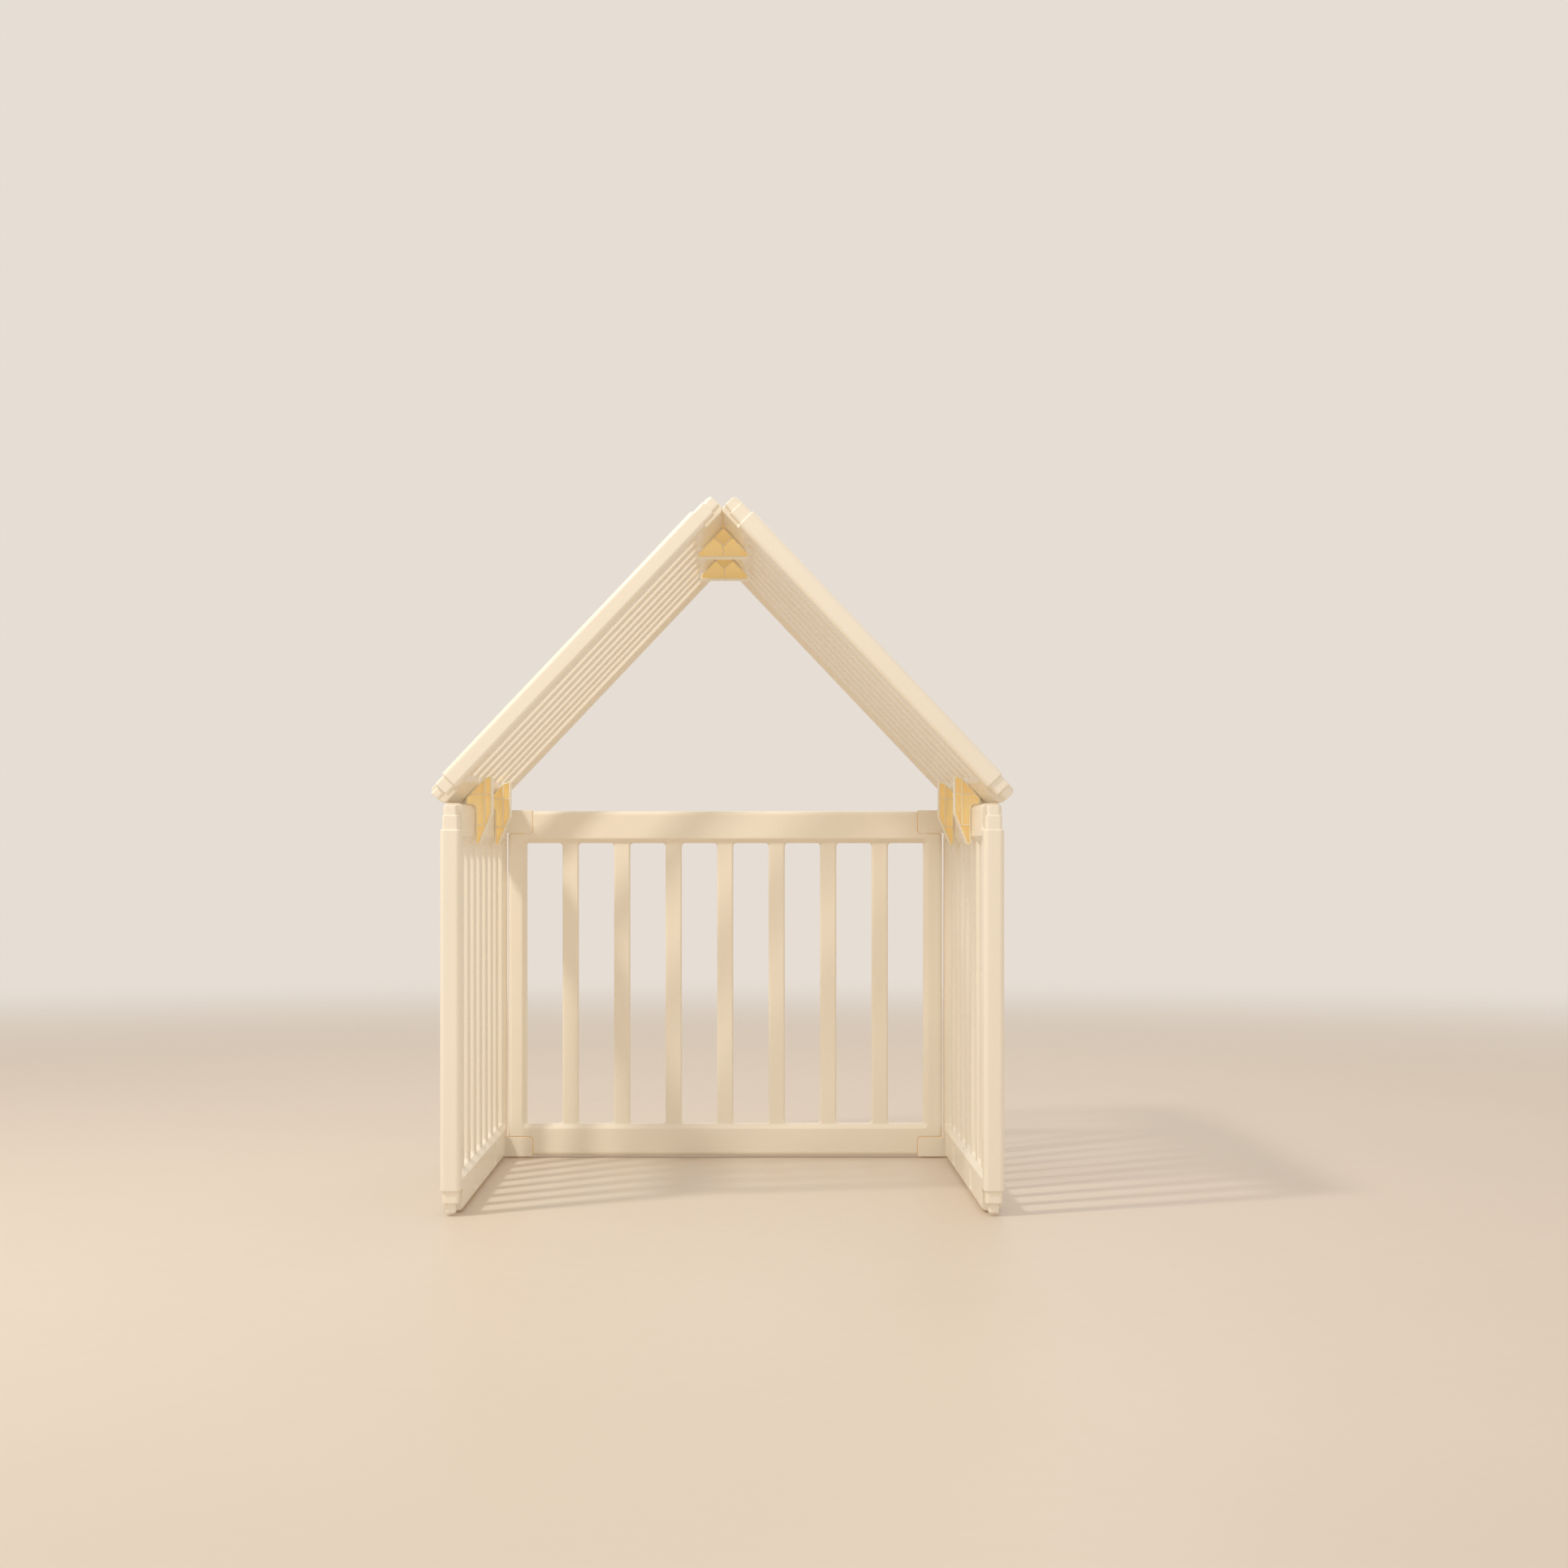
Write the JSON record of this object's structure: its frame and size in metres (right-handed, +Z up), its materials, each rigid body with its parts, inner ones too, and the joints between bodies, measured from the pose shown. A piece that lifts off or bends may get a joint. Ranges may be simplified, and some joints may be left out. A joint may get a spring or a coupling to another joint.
{
  "type": "playpen",
  "caption": "House-shaped playpen of alike slatted plastic panels: an open front, a back and side walls, and a pitched roof of two slopes held by ribbed brackets.",
  "frame": {"origin": "centre of the floor area, on the floor under the ridge", "axes": "+Z up, +Y from the open front towards the back wall, +X to the right as seen from the open front; the ridge runs along Y"},
  "size_m": [0.857, 0.756, 1.0541],
  "materials": {
    "cream_plastic": "satin cream blow-moulded polyethylene with a fine moulded grain",
    "warm_plastic": "slightly translucent cream injection-moulded plastic, warmer and deeper inside the ribbed pockets",
    "pad_rubber": "plain pale soft rubber"
  },
  "bodies": {
    "back_wall": {"back_wall_panel": "cream_plastic", "back_left_upper_coupler": "cream_plastic", "back_left_lower_coupler": "cream_plastic", "back_right_upper_coupler": "cream_plastic", "back_right_lower_coupler": "cream_plastic", "back_left_coupler_pad": "pad_rubber", "back_right_coupler_pad": "pad_rubber"},
    "left_half": {"left_wall_panel": "cream_plastic", "left_roof_panel": "cream_plastic", "left_front_eave_bracket": "warm_plastic", "left_rear_eave_bracket": "warm_plastic", "left_wall_pad": "pad_rubber"},
    "right_half": {"right_wall_panel": "cream_plastic", "right_roof_panel": "cream_plastic", "right_front_eave_bracket": "warm_plastic", "right_rear_eave_bracket": "warm_plastic", "front_ridge_bracket": "warm_plastic", "rear_ridge_bracket": "warm_plastic", "right_wall_pad": "pad_rubber"}
  },
  "joints": [
    {"name": "left_half_swing", "type": "hinge", "parent": "back_wall", "child": "left_half", "pos_m": [-0.3965, 0.363, 0.304], "axis": [0, 0, -1], "range_deg": [0, 90]},
    {"name": "right_half_swing", "type": "hinge", "parent": "back_wall", "child": "right_half", "pos_m": [0.3965, 0.363, 0.304], "axis": [0, 0, 1], "range_deg": [0, 90]}
  ]
}
